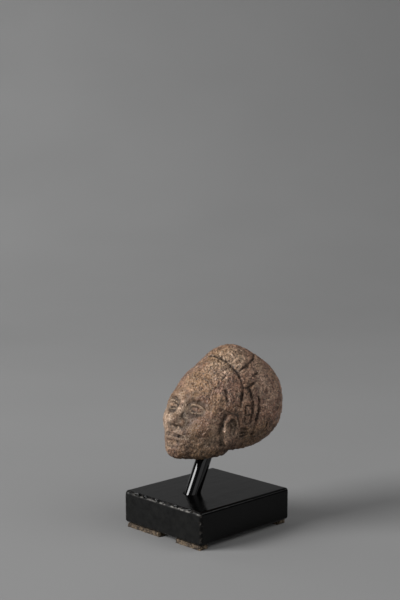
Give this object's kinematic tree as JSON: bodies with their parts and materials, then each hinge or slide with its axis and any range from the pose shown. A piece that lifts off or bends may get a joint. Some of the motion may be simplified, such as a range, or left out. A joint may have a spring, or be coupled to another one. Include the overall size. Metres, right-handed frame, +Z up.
{
  "type": "carved steatite head",
  "caption": "Small carved soapstone head with a tall cap and incised bands, held on a leaning rod above a black wooden plinth on cork pads.",
  "frame": {"origin": "centre of the whole seen from above, on the surface that the cork pads stand on", "axes": "+Z up; -Y is the way the face looks; +X is towards the head's left ear, across the narrow side of the plinth"},
  "size_m": [0.072, 0.1004, 0.1188],
  "materials": {
    "steatite": "matte",
    "rod": "gloss",
    "plinth": "satin",
    "cork": "matte"
  },
  "bodies": {
    "root": {"head": "steatite", "mounting_rod": "rod", "plinth": "plinth", "pad_front_left": "cork", "pad_front_right": "cork", "pad_back_left": "cork", "pad_back_right": "cork"}
  },
  "joints": []
}
